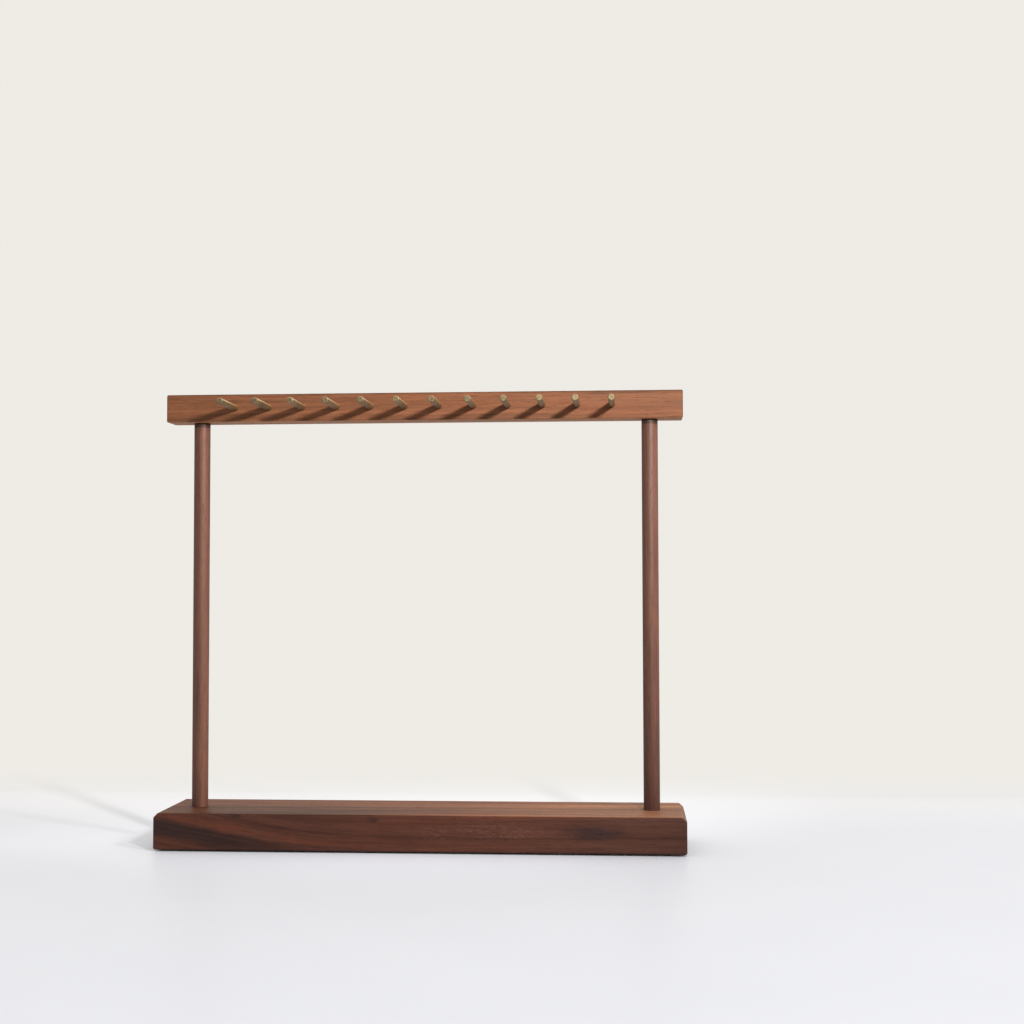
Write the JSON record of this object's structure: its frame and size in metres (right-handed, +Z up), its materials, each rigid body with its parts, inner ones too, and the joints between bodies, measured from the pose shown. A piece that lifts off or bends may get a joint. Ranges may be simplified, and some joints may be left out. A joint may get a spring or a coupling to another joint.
{
  "type": "necklace stand",
  "caption": "Free-standing wooden necklace stand: a long low base, two slim round posts and a crossbar with a row of round brass pegs along its front for hanging chains.",
  "frame": {"origin": "on the table, under the middle of the whole stand's outline", "axes": "X along the bar, pegs point towards -Y, Z up"},
  "size_m": [0.321, 0.0794, 0.2792],
  "materials": {
    "wood": "oiled walnut, satin",
    "brass": "satin brass",
    "insert_brass": "machined brass",
    "zinc": "zinc plated steel",
    "felt": "pressed felt"
  },
  "bodies": {
    "root": {"base": "wood", "top_bar": "wood", "post_left": "wood", "post_right": "wood", "peg_01": "brass", "peg_02": "brass", "peg_03": "brass", "peg_04": "brass", "peg_05": "brass", "peg_06": "brass", "peg_07": "brass", "peg_08": "brass", "peg_09": "brass", "peg_10": "brass", "peg_11": "brass", "peg_12": "brass", "base_bolt_left": "zinc", "base_washer_left": "zinc", "hanger_bolt_left": "zinc", "post_insert_left": "insert_brass", "bar_insert_left": "insert_brass", "pad_front_left": "felt", "pad_back_left": "felt", "base_bolt_right": "zinc", "base_washer_right": "zinc", "hanger_bolt_right": "zinc", "post_insert_right": "insert_brass", "bar_insert_right": "insert_brass", "pad_front_right": "felt", "pad_back_right": "felt"}
  },
  "joints": []
}
